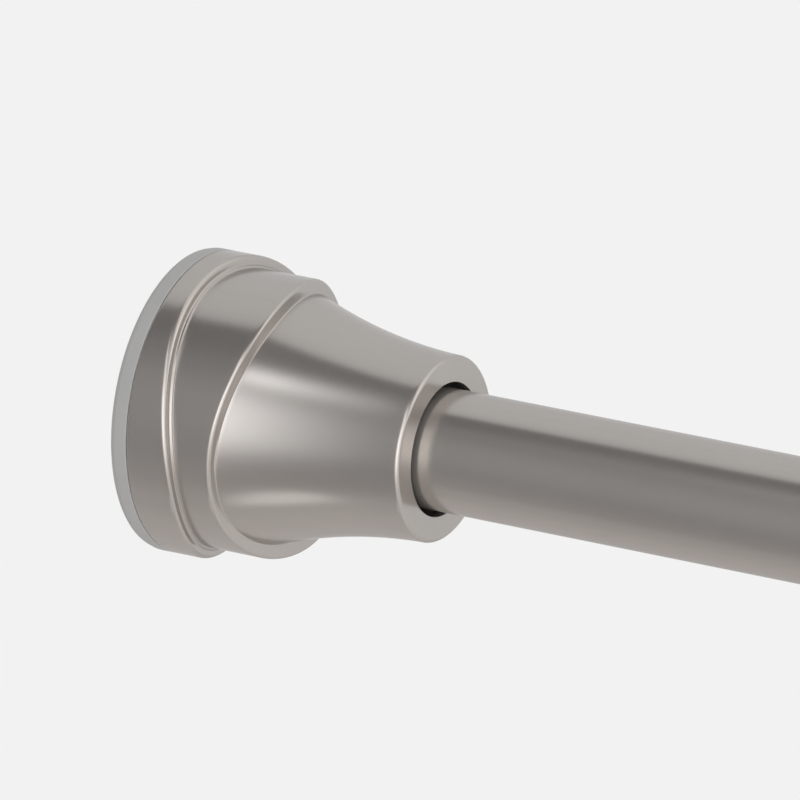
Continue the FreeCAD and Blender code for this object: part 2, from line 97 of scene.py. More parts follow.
class RodCoverSizes(bpy.types.PropertyGroup):
    """Sizes of the flared end cover."""

    start: length("Rear rim", 0.0038, "Distance of the cover's rear rim from the wall")
    end: length("Ring face", 0.0609, "Distance of the cover's ring face from the wall")
    wall: length("Wall", 0.0015, "Thickness of the shell")
    band_one: length("First band", 0.0318, "Radius of the band next to the wall")
    band_two: length("Second band", 0.0293, "Radius of the second band")
    ledge: length("Ledge", 0.0298, "Radius of the small ledge below the first band")
    ledge_width: length("Ledge width", 0.00057, "Width of the small ledge along the rod")
    step_one: length("First step", 0.0114, "Mean distance of the first wavy step from the wall")
    step_two: length("Second step", 0.02425, "Mean distance of the second wavy step from the wall")
    wave_one: length("First wave", 0.00255, "How far the first step swings to each side")
    wave_two: length("Second wave", 0.0027, "How far the second step swings to each side")
    wave_turn: FloatProperty(
        name="Wave azimuth", default=math.radians(-17.5), subtype="ANGLE", unit="ROTATION",
        description="Azimuth at which the first step stands furthest from the wall",
    )
    round_one: length("First rounding", 0.00105, "Rounding of the first band's edge")
    round_two: length("Second rounding", 0.0008, "Rounding of the second band's edge")
    ring_round: length("Ring rounding", 0.00095, "Rounding of the ring face's outer edge")
    flare_base: length("Flare base", 0.02646, "Radius of the flare at the second step")
    flare_waist: length("Flare waist", 0.0195, "Radius at which the flare's arc runs level")
    flare_beyond: length("Beyond the ring", 0.00225, "Distance from the ring face to that place")
    bore: length("Bore", 0.01404, "Radius of the hole round the tube")


class RodTubeSizes(bpy.types.PropertyGroup):
    """Sizes of the tubes, the pads and the mouth bush."""

    wall: length("Tube wall", 0.0008, "Wall thickness of both tubes")
    deburr: length("Deburred edge", 0.00015, "Rounding of the tubes' cut edges")
    pad_thickness: length("Pad thickness", 0.0038, "Thickness of the wall pad")
    pad_radius: length("Pad radius", 0.0318, "Radius of the wall pad")
    pad_edge: length("Pad edge", 0.00045, "Rounding of the wall pad's edges")
    grip: length("Grip groove", 0.0026, "Width of the grooves round the pad's wall face")
    grip_depth: length("Grip depth", 0.0006, "Depth of the grooves round the pad's wall face")
    bush_round: length("Bush rounding", 0.0004, "Rounding of the mouth bush's flange")


class RodFittingSizes(bpy.types.PropertyGroup):
    """Sizes of the feet, their screws, the lock stud, its nut and the pressure spring."""

    foot: length("Foot thickness", 0.003, "Thickness of the foot's disc")
    socket: length("Socket", 0.01495, "Outside radius of the foot's socket")
    socket_bore: length("Socket bore", 0.01275, "Inside radius of the foot's socket")
    rib_reach: length("Rib reach", 0.0105, "How far the foot's ribs reach out from the socket")
    rib_rise: length("Rib rise", 0.01, "How far the foot's ribs rise along the socket")
    rib: length("Rib", 0.0018, "Thickness of the foot's ribs")
    ribs: IntProperty(name="Ribs", default=6, min=3, description="Number of ribs on each foot")
    screw: length("Screw", 0.00175, "Radius of the foot screw's thread")
    screw_head: length("Screw head", 0.0023, "Height of the foot screw's head")
    screw_lead: length("Screw lead", 0.0014, "Lead of the foot screw's thread")
    stud: length("Stud", 0.003, "Radius of the lock stud")
    stud_lead: length("Stud lead", 0.002, "Lead of the lock stud's left-hand thread")
    collar: length("Collar", 0.003, "Width of the lock stud's collar")
    pin_hole: length("Pin hole", 0.00155, "Radius of the drive pin's and the rivet's holes")
    nut_flats: length("Nut flats", 0.01, "Distance between the end nut's flats")
    wire_width: length("Wire width", 0.0022, "Width of the spring's flat wire, along the rod")
    wire_depth: length("Wire depth", 0.0018, "Depth of the spring's flat wire")
    coils: IntProperty(name="Coils", default=6, min=2, description="Number of the spring's open turns")


class RodFinish(bpy.types.PropertyGroup):
    """Colours of the finishes."""

    nickel: colour("Nickel", (0.444, 0.420, 0.397), "Satin nickel plate")
    rubber: colour("Rubber", (0.385, 0.388, 0.382), "Moulded rubber of the wall pads")
    foot: colour("Foot plastic", (0.030, 0.030, 0.031), "Moulded plastic behind the covers")
    nylon: colour("Nylon", (0.60, 0.60, 0.57), "Natural nylon of the bushes")
    lock: colour("Lock plastic", (0.045, 0.047, 0.052), "Glass-filled plastic of the twist lock")
    brass: colour("Brass", (0.56, 0.38, 0.14), "Machined brass")
    zinc: colour("Zinc plate", (0.52, 0.54, 0.56), "Zinc-plated steel")
    spring: colour("Spring steel", (0.19, 0.19, 0.20), "Oiled spring steel")
    satin: strength("Satin", 0.21, "Roughness of the nickel plate")


class RodStudio(bpy.types.PropertyGroup):
    """Brightness and distances of the studio."""

    surround: strength("Surround", 0.888, "Brightness of the pale surround")
    floor_drop: length("Floor", 2.2, "How far the floor lies below the rod")
    floor_reach: length("Floor reach", 5.0, "Half the floor's width")
    card_radius: length("Card radius", 2.0, "Distance of the front card from the rod")
    strip_light: strength("Strip light", 2.24, "Brightness of the strip above the front")
    soft_light: strength("Soft light", 2.02, "Brightness of the large soft light in front")
    small_light: strength("Small light", 0.75, "Brightness of the small light low in front")
    pale_end: strength("Pale end", 1.15, "Tone of the card's right end")
    far_end: strength("Far end", 1.45, "How much brighter the card is beyond its right end's start")
    left_end: strength("Left end", 0.10, "How much brighter the card's left end is")


def studio_world(settings):
    """A pale, even surround."""
    world = bpy.data.worlds.new("studio_surround")
    world.use_nodes = True
    background = world.node_tree.nodes["Background"]
    background.inputs["Color"].default_value = (1.0, 1.0, 1.0, 1.0)
    background.inputs["Strength"].default_value = settings.surround
    bpy.context.scene.world = world


def studio_floor(settings):
    """A plain pale floor in the surround's own tone, which lets a view from below through."""
    reach = settings.floor_reach
    corners = [(-reach, -reach, 0.0), (reach, -reach, 0.0), (reach, reach, 0.0), (-reach, reach, 0.0)]
    floor = placed("studio_floor", new_mesh("studio_floor", corners, [(0, 1, 2, 3)]))
    floor.location.z = -settings.floor_drop
    made, tree, shader = material("studio_floor_pale")
    shader.inputs["Base Color"].default_value = (0.99, 0.99, 0.99, 1.0)
    shader.inputs["Roughness"].default_value = 0.9
    glow = add(tree, "Emission", {"Strength": settings.surround})
    path = add(tree, "LightPath").outputs
    seen = maths(tree, "ADD", path["Is Camera Ray"], path["Is Glossy Ray"])
    seen = maths(tree, "ADD", seen, path["Is Transmission Ray"])
    # most of what is seen is the even glow, and the rest takes the rod's shadow
    even = 0.9
    share = maths(tree, "MINIMUM", product(tree, seen, even), even)
    blend = add(tree, "MixShader", {0: share, 1: shader.outputs[0], 2: glow.outputs[0]})
    below = add(tree, "NewGeometry").outputs["Backfacing"]
    clear = add(tree, "BsdfTransparent")
    shown(tree, add(tree, "MixShader", {0: below, 1: blend.outputs[0], 2: clear.outputs[0]}))
    floor.data.materials.append(made)


# the card's tone by azimuth in degrees: its front is palest low down and darkest at its top edge
CARD_TONES = (
    (-145, 0.66), (-117, 0.75), (-90, 0.67), (-62, 0.51), (-38, 0.293), (-14, 0.177),
    (36, 0.209), (56, 0.13), (68, 0.07), (90.2, 0.051), (92.5, 0.74), (106, 0.84), (150, 0.888),
)
# beyond this azimuth the card is neutral, like the surround
CARD_TOP = 90.4
CARD_TINT = (1.045, 1.0, 0.98)
LIGHT_TINT = (0.985, 1.0, 1.025)


def studio_card(settings):
    """A curved card from under the rod round its front to its top, with the lights on it."""
    radius, rows = settings.card_radius, 60
    ends = (-1.5 * radius, 4 * radius)
    first, last = card_span()
    points = []
    for row in range(rows + 1):
        azimuth = first + (last - first) * row / rows
        points += [polar(x, radius, azimuth) for x in ends]
    faces = [(2 * row, 2 * row + 1, 2 * row + 3, 2 * row + 2) for row in range(rows)]
    card = placed("studio_card", new_mesh("studio_card", points, faces))
    card.visible_camera = False

    made, tree, shader = material("studio_card_grey")
    x, y, z = parted(tree, add(tree, "TexCoord").outputs["Object"])
    up = maths(tree, "ARCTAN2", z, product(tree, y, -1.0))
    side = maths(tree, "ARCTANGENT", maths(tree, "DIVIDE", x, radius))
    greys, lights = card_greys(tree, up, side, settings), card_lights(tree, up, side, settings)
    shown(tree, add(tree, "Emission", {"Color": vector_maths(tree, "ADD", greys, lights)}))
    tree.nodes.remove(shader)
    card.data.materials.append(made)


def card_span():
    """The azimuths of the card's two edges."""
    return math.radians(CARD_TONES[0][0]), math.radians(CARD_TONES[-1][0])


def card_greys(tree, up, side, settings):
    """The card's tones by azimuth, which turn to an even pale tone towards its right end."""
    first, last = card_span()
    place = add(tree, "MapRange", {"Value": up, "From Min": first, "From Max": last})
    tones = add(tree, "ValToRGB", {0: place.outputs[0]})
    tones.color_ramp.interpolation = "EASE"
    stops = tones.color_ramp.elements
    while len(stops) < len(CARD_TONES):
        stops.new(0.5)
    for stop, (turn, tone) in zip(stops, CARD_TONES):
        stop.position = (math.radians(turn) - first) / (last - first)
        stop.color = shade(CARD_TINT if turn < CARD_TOP else (1.0, 1.0, 1.0), tone)

    # the right end is darker low down and near the top, and brighter far out
    risen = eased(tree, up, -60, -25)
    near_top = product(tree, eased(tree, up, 42, 78), eased(tree, up, 93, 90))
    far_out = product(tree, eased(tree, side, 42, 56), risen)
    level = product(
        tree, spread(tree, near_top, 1.0, 0.5), spread(tree, risen, 0.72, 1.0),
        spread(tree, far_out, 1.0, settings.far_end), settings.pale_end,
    )
    pale = scaled(tree, CARD_TINT, level)
    return blended(tree, eased(tree, side, 12, 27), tones.outputs[0], pale)


def card_lights(tree, up, side, settings):
    """The soft light, the strip above it, which leans and widens to its left, and the card's left end."""
    soft = light_patch(tree, (up, 12, 24.0, 3.0), (side, 24, 18.0, 1.8))
    soft = product(tree, soft, eased(tree, side, 62, 36), settings.soft_light)
    strip_middle, slope, widening, least = 7, 0.25, -1.55, 0.8
    lean = maths(tree, "SUBTRACT", side, math.radians(strip_middle))
    rise = maths(tree, "ADD", up, product(tree, lean, slope))
    width = maths(tree, "MAXIMUM", maths(tree, "ADD", 1.0, product(tree, lean, widening)), least)
    strip = light_patch(tree, (rise, 53, 5.4, 2.0, width), (side, strip_middle, 8.0, 1.0))
    strip = product(tree, strip, eased(tree, side, -28, -18), settings.strip_light)
    left_end = light_patch(tree, (up, -5, 42, 4.0))
    left_end = product(tree, left_end, eased(tree, side, -24.3, -28.2), settings.left_end)
    total = maths(tree, "ADD", maths(tree, "ADD", soft, strip), left_end)
    return scaled(tree, LIGHT_TINT, total)


def light_patch(tree, *sides):
    """A soft patch of light: 1 in its middle, and falling off to each side.

    Each side gives a direction, the middle and the spread in degrees, the fall-off's power and, where the
    patch widens, a factor on the spread.
    """
    total = 0.0
    for direction, middle, breadth, power, *widening in sides:
        away = maths(tree, "ABSOLUTE", maths(tree, "SUBTRACT", direction, math.radians(middle)))
        share = maths(tree, "DIVIDE", away, math.radians(breadth))
        if widening:
            share = maths(tree, "DIVIDE", share, widening[0])
        total = maths(tree, "ADD", maths(tree, "POWER", share, power), total)
    return maths(tree, "EXPONENT", product(tree, total, -0.5))


def eased(tree, direction, low, high):
    """Rises smoothly from 0 to 1 between two directions in degrees."""
    inputs = {"Value": direction, "From Min": math.radians(low), "From Max": math.radians(high)}
    return add(tree, "MapRange", inputs, interpolation_type="SMOOTHERSTEP").outputs[0]


def round_lamp(name, azimuth, sideways, distance, radius, brightness):
    """A round soft lamp that faces the rod's left end."""
    lamp = bpy.data.lights.new(name, "AREA")
    lamp.shape = "DISK"
    lamp.size = 2 * radius
    # the power that gives a disk this brightness
    lamp.energy = math.pi * math.pi * radius ** 2 * brightness
    place = placed(name, lamp)
    sideways = math.radians(sideways)
    away = Vector(polar(math.sin(sideways), math.cos(sideways), math.radians(azimuth)))
    # a lamp shines along its own -Z
    place.rotation_mode = "QUATERNION"
    place.rotation_quaternion = away.to_track_quat("Z", "Y")
    place.location = away * distance
    place.visible_camera = False


# Meshes


def polar(station, radius, azimuth):
    """A point round the rod's axis."""
    return station, -radius * math.cos(azimuth), radius * math.sin(azimuth)


def new_mesh(name, points, faces):
    """A mesh from its points and faces."""
    mesh = bpy.data.meshes.new(name)
    mesh.from_pydata(points, [], faces)
    return mesh


def placed(name, data):
    """Puts a mesh, lamp or camera into the scene."""
    piece = bpy.data.objects.new(name, data)
    bpy.context.scene.collection.objects.link(piece)
    return piece


def shaded(mesh):
    """Shades a mesh smooth, with sharp edges where its faces meet at a steep angle."""
    mesh.shade_smooth()
    mesh.set_sharp_from_angle(angle=SHARP_ANGLE)
    return mesh


@contextmanager
def edited(mesh):
    """Opens a mesh for editing and writes it back."""
    work = bmesh.new()
    work.from_mesh(mesh)
    yield work
    work.to_mesh(mesh)
    work.free()


def around_axis(name, rings, segments):
    """A mesh wrapped round the rod's axis, from rings of station and radius.

    Either value is one number or, where it changes round the axis, one for each segment. Where the first
    and last radius are zero the mesh closes on the axis, otherwise the last ring joins the first. Along
    its outside the station grows, so that its faces look outward.
    """
    table = np.array([[np.broadcast_to(value, segments) for value in ring] for ring in rings])
    solid = not table[0, 1].any()
    if solid:
        tips = [(float(table[end, 0, 0]), 0.0, 0.0) for end in (0, -1)]
        table = table[1:-1]
    azimuths = np.arange(segments) * TURN / segments
    stations, radii = table[:, 0], table[:, 1]
    grid = np.stack([stations, -radii * np.cos(azimuths), radii * np.sin(azimuths)], axis=-1)
    points = grid.reshape(-1, 3).tolist()
    index = np.arange(len(points)).reshape(-1, segments)
    onward = np.roll(index, -1, axis=1)
    after, onward_after = np.roll(index, -1, axis=0), np.roll(onward, -1, axis=0)
    sides = np.stack([index, after, onward_after, onward], axis=-1)
    faces = (sides[:-1] if solid else sides).reshape(-1, 4).tolist()
    if solid:
        first_tip, last_tip = len(points), len(points) + 1
        points += tips
        faces += [(first_tip, a, b) for a, b in zip(index[0].tolist(), onward[0].tolist())]
        faces += [(b, a, last_tip) for a, b in zip(index[-1].tolist(), onward[-1].tolist())]
    mesh = new_mesh(name, points, faces)
    mesh.validate()
    return shaded(mesh)


def rounded_outline(corners, closed=True, steps=6):
    """Points of an outline with each corner (station, radius, rounding) rounded off.

    Long straight runs get a point near each end, so that the shading of a rounding stays in the rounding.
    """
    count = len(corners)
    points = []
    for index, (x, y, rounding) in enumerate(corners):
        here = np.array([x, y])
        ends = not closed and index in (0, count - 1)
        if ends or rounding == 0:
            points.append(here)
            continue
        back = np.array(corners[index - 1][:2]) - here
        ahead = np.array(corners[(index + 1) % count][:2]) - here
        back /= np.linalg.norm(back)
        ahead /= np.linalg.norm(ahead)
        half = math.acos(float(np.clip(back @ ahead, -1, 1))) / 2
        bisector = (back + ahead) / np.linalg.norm(back + ahead)
        centre = here + bisector * rounding / math.sin(half)
        first = here + back * rounding / math.tan(half) - centre
        last = here + ahead * rounding / math.tan(half) - centre
        sweep = math.pi - 2 * half
        for step in range(steps + 1):
            share = step / steps
            mix = math.sin((1 - share) * sweep) * first + math.sin(share * sweep) * last
            points.append(centre + mix / math.sin(sweep))
    return supported(points, closed)


def supported(points, closed):
    """An outline's points, with one more near each end of its long straight runs."""
    result = []
    for index, here in enumerate(points):
        result.append(here)
        if not closed and index == len(points) - 1:
            break
        after = points[(index + 1) % len(points)]
        run = np.linalg.norm(after - here)
        if run > 3 * SUPPORT:
            step = (after - here) * SUPPORT / run
            result += [here + step, after - step]
    return np.array(result)


def turned(name, corners, segments, closed=True, steps=6):
    """A turned piece from the corners (station, radius, rounding) of its half section."""
    return placed(name, around_axis(name, rounded_outline(corners, closed, steps), segments))


def thread(start, end, radius, depth, lead, hand, segments):
    """Rings of a thread whose groove runs out at both ends. A hand of -1 makes it left-hand."""
    around = np.arange(segments) / segments
    rings_each, root, flank = 10, 0.2, 0.5
    rings = []
    for station in np.linspace(start, end, round(rings_each * (end - start) / lead) + 1):
        side = 2 * np.abs((station / lead + hand * around) % 1 - 0.5)
        crest = np.clip((side - root) / flank, 0, 1)
        groove = depth * min(1, (station - start) / lead, (end - station) / lead)
        rings.append((station, radius - groove * (1 - crest)))
    return rings


def lofted(name, sections):
    """A closed mesh through its sections, which all have the same number of points."""
    points = [point for section in sections for point in section]
    index = np.arange(len(points)).reshape(len(sections), -1)
    onward = np.roll(index, -1, axis=1)
    sides = np.stack([index[:-1], index[1:], onward[1:], onward[:-1]], axis=-1)
    mesh = new_mesh(name, points, sides.reshape(-1, 4).tolist() + [index[0].tolist(), index[-1].tolist()])
    with edited(mesh) as work:
        bmesh.ops.recalc_face_normals(work, faces=work.faces)
    return shaded(mesh)


def prism(name, outline, first, last, across=False, taper=1.0):
    """A prism from its outline, along the rod (y, z) or across it (x, z)."""
    sections = []
    for along, size in ((first, 1.0), (last, taper)):
        sections.append([
            (a * size, along, b * size) if across else (along, a * size, b * size) for a, b in outline
        ])
    return placed(name, lofted(name, sections))


def circle(x, y, radius, first=0, last=360, steps=48):
    """Points round a circle, or along its arc between two angles in degrees without the arc's end."""
    turns = np.radians(np.linspace(first, last, steps + 1))[:-1]
    return [(x + radius * math.cos(turn), y + radius * math.sin(turn)) for turn in turns]


def at_end(piece, side):
    """Leaves a piece at the left wall, where it is made, or turns it round to the right wall."""
    if side == "right":
        rod_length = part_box("wall_pad_right")[1].x
        piece.data.transform(Matrix.Translation((rod_length, 0, 0)) @ Matrix.Rotation(math.pi, 4, "Z"))


def with_booleans(piece, others, operation):
    """Joins the piece with the other pieces, or cuts it with them, and removes them."""
    for other in others:
        modifier = piece.modifiers.new(operation.lower(), "BOOLEAN")
        modifier.object = other
        modifier.operation = operation
        modifier.solver = "EXACT"
    graph = bpy.context.evaluated_depsgraph_get()
    result = bpy.data.meshes.new_from_object(piece.evaluated_get(graph))
    piece.modifiers.clear()
    piece.data = result
    with edited(result) as work:
        bmesh.ops.dissolve_degenerate(work, dist=SPECK, edges=work.edges)
    shaded(result)
    for other in others:
        bpy.data.objects.remove(other)
    return piece


# Pieces


def cover_shell(name, sizes, segments=360):
    """The stepped and flared cover, ring by ring, and the number of its first inside face.

    The rings run round the rear rim, over the first band, its wavy step, the ledge, the second band, its
    wavy step, the flare and the ring face, and back along the inside.
    """
    azimuths = np.arange(segments) * TURN / segments
    swing = np.cos(2 * (azimuths - sizes.wave_turn))
    rings = []

    def ring(station, radius):
        rings.append((station, radius))

    def bend(centre, radius, size, first, last, steps):
        """Rings round a rounding, between two angles in degrees from the outward direction towards +X.

        The centre's station may be a function of the radius. A negative size is a hollow.
        """
        for turn in np.radians(np.linspace(first, last, steps)):
            at = radius + size * np.cos(turn)
            ring((centre(at) if callable(centre) else centre) + size * np.sin(turn), at)

    def run(first, last, radius, shares):
        """Rings along a straight band, at shares of the way."""
        for share in shares:
            ring(first + (last - first) * share, radius)

    def step_one(radius):
        return sizes.step_one + sizes.wave_one * (radius / sizes.band_one) ** 2 * swing

    def step_two(radius):
        return sizes.step_two - sizes.wave_two * (radius / sizes.band_two) ** 2 * swing

    waist_station = sizes.end + sizes.flare_beyond
    reach = waist_station - sizes.step_two
    drop = sizes.flare_base - sizes.flare_waist
    arc_radius = (reach ** 2 + drop ** 2) / (2 * drop)

    def flare(station):
        return sizes.flare_waist + arc_radius - np.sqrt(arc_radius ** 2 - (waist_station - station) ** 2)

    rim = 0.25 * MM
    mouth = sizes.band_one - sizes.wall
    bend(sizes.start + rim, mouth + rim, rim, -180, -90, 4)
    bend(sizes.start + rim, sizes.band_one - rim, rim, -90, 0, 5)
    size = sizes.round_one
    run(sizes.start + rim, step_one(sizes.band_one) - size, sizes.band_one, np.linspace(0, 1, 10)[1:-1])
    bend(lambda at: step_one(at) - size, sizes.band_one - size, size, 0, 90, 14)

    # the ledge: a hollow, a short slanting wall and a rounding, and then a fine hollow to the second band
    cove, lip, slanted = 0.35 * MM, 0.3 * MM, 20
    slant = math.radians(slanted)
    turned_in = 1 - math.sin(slant)
    wall = (sizes.ledge_width - (cove + lip) * turned_in) / math.cos(slant)
    foot = sizes.ledge + wall / 2 * math.sin(slant)
    cove_radius = foot + cove * math.cos(slant)
    for share in (0.3, 0.7):
        radius = sizes.band_one - size + (cove_radius - sizes.band_one + size) * share
        ring(step_one(radius), radius)
    bend(lambda at: step_one(at) + cove, cove_radius, -cove, 90, slanted, 8)
    lip_radius = foot - wall * math.sin(slant) - lip * math.cos(slant)
    bend(lambda at: step_one(at) + sizes.ledge_width - lip, lip_radius, lip, slanted, 90, 8)
    fine = 0.12 * MM
    bend(lambda at: step_one(at) + sizes.ledge_width + fine, sizes.band_two + fine, -fine, 90, 0, 5)
    second_start = step_one(sizes.band_two) + sizes.ledge_width + fine

    size_two = sizes.round_two
    second_edge = step_two(sizes.band_two) - size_two
    run(second_start, second_edge, sizes.band_two, np.linspace(0, 1, 16)[1:-1])
    bend(lambda at: step_two(at) - size_two, sizes.band_two - size_two, size_two, 0, 90, 14)

    fillet = 0.25 * MM
    fillet_station = step_two(sizes.flare_base) + fillet
    lean = np.arcsin((waist_station - fillet_station) / arc_radius)
    fillet_radius = flare(fillet_station) + fillet / np.cos(lean)
    shelf_start = sizes.band_two - size_two
    for share in (0.1, 0.35, 0.65, 0.92):
        radius = shelf_start + (fillet_radius - shelf_start) * share
        ring(step_two(radius), radius)
    bend(fillet_station, fillet_radius, -fillet, 90, np.degrees(lean), 7)

    ring_start = sizes.end - sizes.ring_round
    flare_start = fillet_station - fillet * np.sin(lean)
    for share in np.linspace(0, 1, 56)[1:-1]:
        station = flare_start + (ring_start - flare_start) * share
        ring(station, flare(station))
    face_top = flare(ring_start) - sizes.ring_round
    bend(ring_start, face_top, sizes.ring_round, 0, 90, 10)
    edge = 0.12 * MM
    for share in (0.08, 0.35, 0.65, 0.92):
        ring(sizes.end, face_top + (sizes.bore + edge - face_top) * share)
    bend(sizes.end - edge, sizes.bore + edge, edge, 90, 180, 5)
    back = sizes.end - sizes.wall
    bend(back + edge, sizes.bore + edge, edge, 180, 270, 4)

    inside = len(rings) * segments
    cavity_turn = sizes.step_two - sizes.wave_two - sizes.wall
    for share in np.linspace(0, 1, 12):
        station = back + (cavity_turn - back) * share
        ring(station, flare(station) - sizes.wall)
    shoulder = sizes.step_one - sizes.wave_one
    ring(shoulder, sizes.band_two - sizes.wall)
    ring(shoulder - sizes.wall, mouth)
    return placed(name, around_axis(name, rings, segments)), inside


def wall_pad(name, sizes):
    """The rubber pad, with grooves in its wall face, a seat for the foot and a pocket for the screw."""
    rim, back, soft = sizes.pad_radius, sizes.pad_thickness, 0.15 * MM
    lip = back - 0.15 * MM
    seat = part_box("foot_plate_left")[1].z + 0.15 * MM
    pocket, pocket_floor = 4.2 * MM, 1.2 * MM
    corners = [(0.0, 0.0, 0.0)]
    for inner in (9.0 * MM, 15.4 * MM, 21.8 * MM):
        outer = inner + sizes.grip
        corners += [
            (0.0, inner, soft),
            (sizes.grip_depth, inner, soft),
            (sizes.grip_depth, outer, soft),
            (0.0, outer, soft),
        ]
    corners += [
        (0.0, rim - 0.25 * MM, 0.4 * sizes.pad_edge),
        (0.9 * MM, rim, 0.6 * sizes.pad_edge),
        (lip, rim, 0.12 * MM),
        (lip, seat + 0.3 * MM, 0.0),
        (back, seat, 0.1 * MM),
        (back, pocket, soft),
        (pocket_floor, pocket, soft),
        (pocket_floor, 0.0, 0.0),
    ]
    return turned(name, corners, segments=256, closed=False, steps=4)


def foot_rib(sizes, floor):
    """The mesh of one rib of the foot, from its disc up to its socket, thinner towards its top."""
    sunk, root = floor - 1.2 * MM, sizes.socket - 0.3 * MM
    toe, top = sizes.socket + sizes.rib_reach, floor + sizes.rib_rise
    outline = [(sunk, root), (sunk, toe), (floor, toe), (top, sizes.socket + 0.5 * MM), (top, root)]
    thinned = [1 - 0.3 * max(0.0, (station - floor) / sizes.rib_rise) for station, _ in outline]
    mesh = lofted("foot_rib", [
        [(station, side * sizes.rib * thin, radius) for (station, radius), thin in zip(outline, thinned)]
        for side in (-0.5, 0.5)
    ])
    # the edges of the rib's outer faces, by their points' numbers
    count = len(outline)
    ridge = {(side * count + index, side * count + index + 1) for side in (0, 1) for index in (1, 2, 3)}
    with edited(mesh) as work:
        edges = [edge for edge in work.edges if tuple(sorted(vert.index for vert in edge.verts)) in ridge]
        bmesh.ops.bevel(work, geom=edges, offset=0.3 * MM, segments=3, profile=0.5, affect="EDGES")
    return mesh


def foot_plate(name, sizes):
    """The moulded foot: a disc with a raised rim, a ribbed socket for the tube and three ejector marks."""
    low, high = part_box("foot_plate_left")
    floor, rim = low.x + sizes.foot, high.z
    dish = floor - 0.4 * MM
    hole = sizes.screw + 0.3 * MM
    foot = turned(name, [
        (low.x, hole, 0.2 * MM),
        (low.x, rim, 0.4 * MM),
        (floor, rim, 0.6 * MM),
        (floor, rim - 2.2 * MM, 0.3 * MM),
        (dish, rim - 2.7 * MM, 0.3 * MM),
        (dish, sizes.socket, 0.9 * MM),
        (high.x, sizes.socket - 0.1 * MM, 0.5 * MM),
        (high.x, sizes.socket_bore, 0.4 * MM),
        (floor, sizes.socket_bore, 0.3 * MM),
        (floor, hole, 0.2 * MM),
    ], segments=192, steps=4)
    rib = foot_rib(sizes, floor)
    together = bpy.data.meshes.new(name + "_ribs")
    with edited(together) as ribs:
        for index in range(sizes.ribs):
            before = len(ribs.verts)
            ribs.from_mesh(rib)
            ribs.verts.ensure_lookup_table()
            turn = Matrix.Rotation(index * TURN / sizes.ribs, 4, "X")
            bmesh.ops.transform(ribs, matrix=turn, verts=ribs.verts[before:])
    with_booleans(foot, [placed(name + "_ribs", together)], "UNION")
    count, mark_place, mark_radius, mark_depth = 3, 21 * MM, 2.1 * MM, 0.15 * MM
    marks = []
    for index in range(count):
        turn = (index + 0.25) * TURN / count
        outline = circle(mark_place * math.sin(turn), mark_place * math.cos(turn), mark_radius)
        marks.append(prism(name + "_mark", outline, dish - mark_depth, floor + MM))
    return with_booleans(foot, marks, "DIFFERENCE")


def foot_screw(name, sizes):
    """A pan-head screw with a cross recess and a tapping thread."""
    low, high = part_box("foot_screw_left")
    neck = low.x + sizes.screw_head
    segments = 40
    rings = rounded_outline([
        (low.x, 0.0, 0.0),
        (low.x, high.z - 0.7 * MM, 0.6 * MM),
        (low.x + MM, high.z, 0.7 * MM),
        (neck, high.z, 0.1 * MM),
        (neck, sizes.screw, 0.0),
    ], closed=False, steps=4).tolist()
    turns = thread(
        neck + 0.3 * MM, high.x - 0.1 * MM, sizes.screw, 0.4 * MM, sizes.screw_lead, 1, segments
    )
    point, tip = 3 * MM, 0.2
    for station, radius in turns:
        narrowed = 1 - (1 - tip) * (station - high.x + point) / point
        rings.append((station, radius * min(1.0, narrowed)))
    rings.append((high.x, 0.0))
    screw = placed(name, around_axis(name, rings, segments))
    half, reach, depth = 0.4 * MM, 1.8 * MM, 1.3 * MM
    cross = [
        (half, half), (half, reach), (-half, reach), (-half, half), (-reach, half), (-reach, -half),
        (-half, -half), (-half, -reach), (half, -reach), (half, -half), (reach, -half), (reach, half),
    ]
    recess = prism(name + "_recess", cross, low.x - 0.2 * MM, low.x + depth, taper=0.55)
    return with_booleans(screw, [recess], "DIFFERENCE")


def lock_stud(name, sizes):
    """The lock's stud: a left-hand thread, the collar that takes the collet's thrust and the pin's hole."""
    low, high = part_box("lock_stud")
    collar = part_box("thrust_washer")[1].x + 0.15 * MM
    collar_end = collar + sizes.collar
    chamfer, segments = 0.5 * MM, 48
    rings = [(low.x, 0.0), (low.x, sizes.stud - chamfer), (low.x + chamfer, sizes.stud)]
    rings += thread(
        low.x + 1.2 * chamfer, collar - 2 * chamfer, sizes.stud, 0.5 * MM, sizes.stud_lead, -1, segments
    )
    rings += rounded_outline([
        (collar, sizes.stud, 0.0),
        (collar, high.z, 0.3 * MM),
        (collar_end, high.z, 0.3 * MM),
        (collar_end, sizes.stud, 0.2 * MM),
        (high.x - chamfer, sizes.stud, 0.0),
        (high.x, sizes.stud - chamfer, 0.0),
        (high.x, 0.0, 0.0),
    ], closed=False, steps=4).tolist()
    stud = placed(name, around_axis(name, rings, segments))
    hole = circle(middle_of("drive_pin"), 0.0, sizes.pin_hole)
    return with_booleans(stud, [prism(name + "_hole", hole, -10 * MM, 10 * MM, across=True)], "DIFFERENCE")


def end_nut(name, sizes):
    """A hexagon nut, chamfered on both sides."""
    low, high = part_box("end_nut")
    corner = sizes.nut_flats / math.sqrt(3)
    hole, face, side, chamfer = sizes.stud + 0.05 * MM, corner - 0.9 * MM, corner + 0.2 * MM, 0.6 * MM
    nut = turned(name, [
        (low.x, hole, 0.2 * MM),
        (low.x, face, 0.0),
        (low.x + chamfer, side, 0.0),
        (high.x - chamfer, side, 0.0),
        (high.x, face, 0.0),
        (high.x, hole, 0.2 * MM),
    ], segments=96, steps=3)
    hexagon = prism(name + "_flats", circle(0.0, 0.0, corner, steps=6), low.x - MM, high.x + MM)
    return with_booleans(nut, [hexagon], "INTERSECT")


